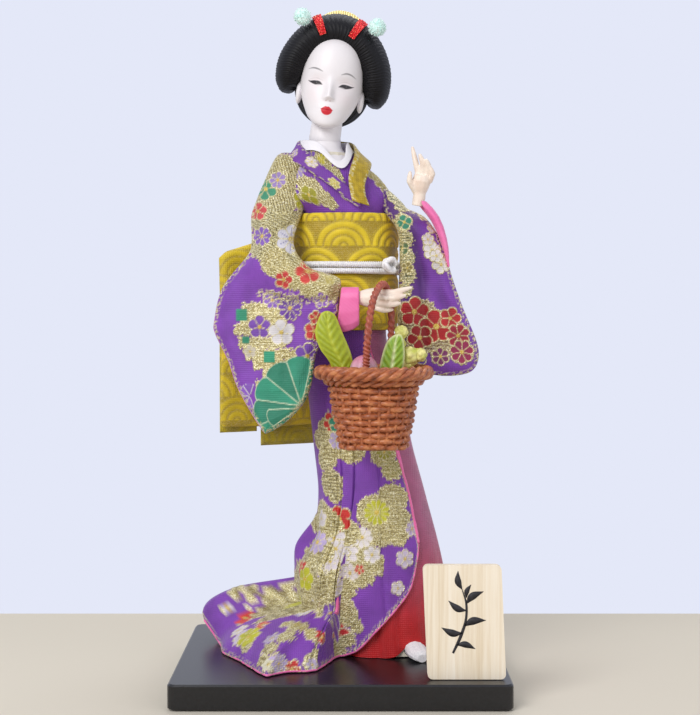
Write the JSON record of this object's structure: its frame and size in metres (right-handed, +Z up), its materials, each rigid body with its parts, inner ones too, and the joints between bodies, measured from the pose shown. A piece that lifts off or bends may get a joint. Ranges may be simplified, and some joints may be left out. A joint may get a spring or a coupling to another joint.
{
  "type": "geisha doll",
  "caption": "Display doll in a purple and gold brocade kimono with a yellow sash, holding a woven basket of produce, on a black base board with a wooden plaque.",
  "frame": {"origin": "middle of the base board's underside", "axes": "+Z up, -Y towards the front of the doll, +X to the viewer's right"},
  "size_m": [0.145, 0.11, 0.3049],
  "materials": {
    "black_lacquer": "black satin lacquer",
    "pale_wood": "bare, sanded",
    "steel_wire": "drawn wire",
    "stuffing": "cotton wadding",
    "white_cotton": "plain weave",
    "face_enamel": "moulded and painted, satin",
    "hand_enamel": "moulded and painted, satin",
    "black_hair": "combed thread",
    "gold_comb": "gilt",
    "red_ribbon": "crinkled crepe",
    "mint_tuft": "fluffy yarn",
    "purple_brocade": "brocade with gold thread",
    "pink_lining": "smooth satin",
    "rose_satin": "smooth satin",
    "yellow_sash": "patterned brocade",
    "white_cord": "braided cord",
    "wicker": "woven, varnished",
    "red_cane": "bent, varnished",
    "leaf_green": "moulded and painted",
    "radish_white": "moulded and painted",
    "pale_yellow": "moulded and painted"
  },
  "bodies": {
    "root": {"base_board": "black_lacquer", "name_plaque": "pale_wood", "leg_wire_left": "steel_wire", "leg_wire_right": "steel_wire", "body_form": "stuffing", "skirt_wadding": "stuffing", "obi_bow_pad": "stuffing", "foot_left": "white_cotton", "foot_right": "white_cotton", "head": "face_enamel", "left_hand": "hand_enamel", "right_hand": "hand_enamel", "hair_crown_front": "black_hair", "hair_side_left": "black_hair", "hair_side_right": "black_hair", "hair_topknot": "black_hair", "hair_nape": "black_hair", "comb": "gold_comb", "hair_ribbon_left": "red_ribbon", "hair_ribbon_right": "red_ribbon", "hair_pompom_left": "mint_tuft", "hair_pompom_right": "mint_tuft", "under_collar": "white_cotton", "kimono_bodice": "purple_brocade", "lapel_left": "yellow_sash", "lapel_right": "purple_brocade", "right_sleeve": "purple_brocade", "left_sleeve": "purple_brocade", "right_sleeve_lining": "pink_lining", "left_sleeve_lining": "pink_lining", "kimono_skirt": "purple_brocade", "skirt_lining": "pink_lining", "under_skirt": "rose_satin", "obi_band": "yellow_sash", "obi_cord": "white_cord", "obi_cord_knot": "white_cord", "obi_bow": "yellow_sash", "obi_tail_left": "yellow_sash", "obi_tail_right": "yellow_sash", "basket_body": "wicker", "basket_rim": "wicker", "basket_handle": "red_cane", "leaf_tall": "leaf_green", "leaf_side": "leaf_green", "radish": "radish_white", "vegetable_cluster": "pale_yellow"}
  },
  "joints": []
}
